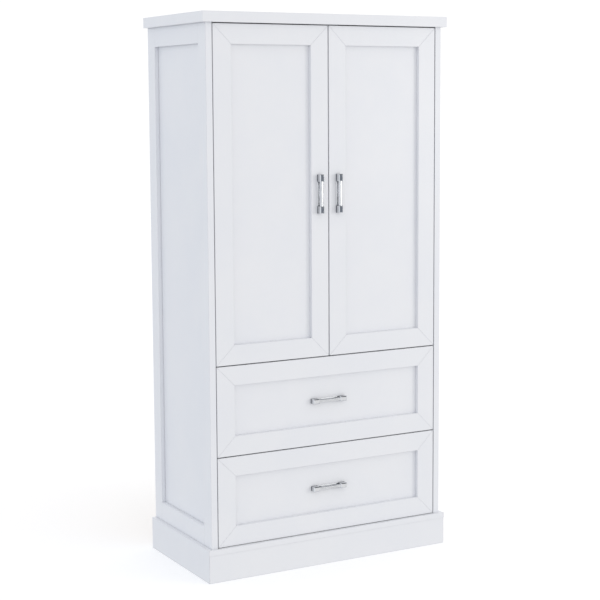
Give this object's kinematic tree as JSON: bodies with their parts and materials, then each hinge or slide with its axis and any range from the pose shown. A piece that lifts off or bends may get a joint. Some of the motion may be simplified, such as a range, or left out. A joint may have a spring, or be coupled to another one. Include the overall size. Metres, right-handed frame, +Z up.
{
  "type": "armoire",
  "caption": "Upright white armoire: hinged framed doors over drawers on runners, shelves inside, slab top and wrap-round plinth.",
  "frame": {"origin": "on the floor, at the centre of the whole object's footprint, handles included", "axes": "+Z up; the doors and drawers face -Y; X runs across the width"},
  "size_m": [0.8, 0.412, 1.6],
  "materials": {
    "white_board": "medium-density fibreboard, sprayed semi-matt white",
    "white_side_board": "medium-density fibreboard, sprayed semi-matt white",
    "white_inner_board": "white melamine-faced board",
    "back_board": "thin fibreboard, white on its inner face",
    "chrome_handle": "bright polished chrome",
    "zinc_hardware": "bright zinc-plated steel",
    "screw_steel": "zinc-plated steel screws",
    "nickel_hinge": "nickel-plated pressed steel",
    "shelf_pin_metal": "nickel-plated shelf pins",
    "bumper_rubber": "clear grey soft bumper"
  },
  "bodies": {
    "carcass": {"top_panel": "white_board", "middle_panel": "white_inner_board", "bottom_panel": "white_inner_board", "back_panel_upper": "back_board", "back_panel_lower": "back_board", "back_panel_screws": "screw_steel", "wall_fixing_rail": "white_inner_board", "door_stop": "white_board", "door_bumpers": "bumper_rubber", "front_plinth": "white_board", "plinth_cap": "white_board", "side_plinths": "white_board", "back_plinth": "white_board", "lower_shelf": "white_inner_board", "upper_shelf": "white_inner_board", "shelf_pins": "shelf_pin_metal", "hinge_arms": "nickel_hinge", "hinge_plates": "nickel_hinge", "carcass_screws": "screw_steel", "runner_cabinet_members": "zinc_hardware", "left_side_front_stile": "white_side_board", "left_side_back_stile": "white_side_board", "left_side_rails": "white_side_board", "left_side_panel": "white_side_board", "right_side_front_stile": "white_side_board", "right_side_back_stile": "white_side_board", "right_side_rails": "white_side_board", "right_side_panel": "white_side_board"},
    "left_door": {"left_door_hinge_stile": "white_board", "left_door_meeting_stile": "white_board", "left_door_rails": "white_board", "left_door_panel": "white_board", "left_door_handle": "chrome_handle", "left_door_screws": "screw_steel", "left_door_hinge_cups": "nickel_hinge"},
    "right_door": {"right_door_hinge_stile": "white_board", "right_door_meeting_stile": "white_board", "right_door_rails": "white_board", "right_door_panel": "white_board", "right_door_handle": "chrome_handle", "right_door_screws": "screw_steel", "right_door_hinge_cups": "nickel_hinge"},
    "upper_drawer": {"upper_drawer_front_frame": "white_board", "upper_drawer_front_panel": "white_board", "upper_drawer_handle": "chrome_handle", "upper_drawer_screws": "screw_steel", "upper_drawer_sides": "white_inner_board", "upper_drawer_box_ends": "white_inner_board", "upper_drawer_bottom": "white_inner_board", "upper_runner_drawer_members": "zinc_hardware"},
    "upper_runner_middle": {"upper_runner_middle_members": "zinc_hardware"},
    "lower_drawer": {"lower_drawer_front_frame": "white_board", "lower_drawer_front_panel": "white_board", "lower_drawer_handle": "chrome_handle", "lower_drawer_screws": "screw_steel", "lower_drawer_sides": "white_inner_board", "lower_drawer_box_ends": "white_inner_board", "lower_drawer_bottom": "white_inner_board", "lower_runner_drawer_members": "zinc_hardware"},
    "lower_runner_middle": {"lower_runner_middle_members": "zinc_hardware"}
  },
  "joints": [
    {"name": "left_door_hinge", "type": "hinge", "parent": "carcass", "child": "left_door", "pos_m": [-0.342, -0.178, 1.0925], "axis": [0, 0, -1], "range_deg": [0, 100]},
    {"name": "right_door_hinge", "type": "hinge", "parent": "carcass", "child": "right_door", "pos_m": [0.342, -0.178, 1.0925], "axis": [0, 0, 1], "range_deg": [0, 100]},
    {"name": "upper_drawer_slide", "type": "slide", "parent": "carcass", "child": "upper_drawer", "axis": [0, -1, 0], "range_m": [0, 0.3]},
    {"name": "lower_drawer_slide", "type": "slide", "parent": "carcass", "child": "lower_drawer", "axis": [0, -1, 0], "range_m": [0, 0.3]},
    {"name": "upper_runner_middle_slide", "type": "slide", "parent": "carcass", "child": "upper_runner_middle", "axis": [0, -1, 0], "range_m": [0, 0.15]},
    {"name": "lower_runner_middle_slide", "type": "slide", "parent": "carcass", "child": "lower_runner_middle", "axis": [0, -1, 0], "range_m": [0, 0.15]}
  ],
  "couplings": [
    {"joint": "upper_runner_middle_slide", "follows": "upper_drawer_slide", "ratio": 0.5},
    {"joint": "lower_runner_middle_slide", "follows": "lower_drawer_slide", "ratio": 0.5}
  ]
}
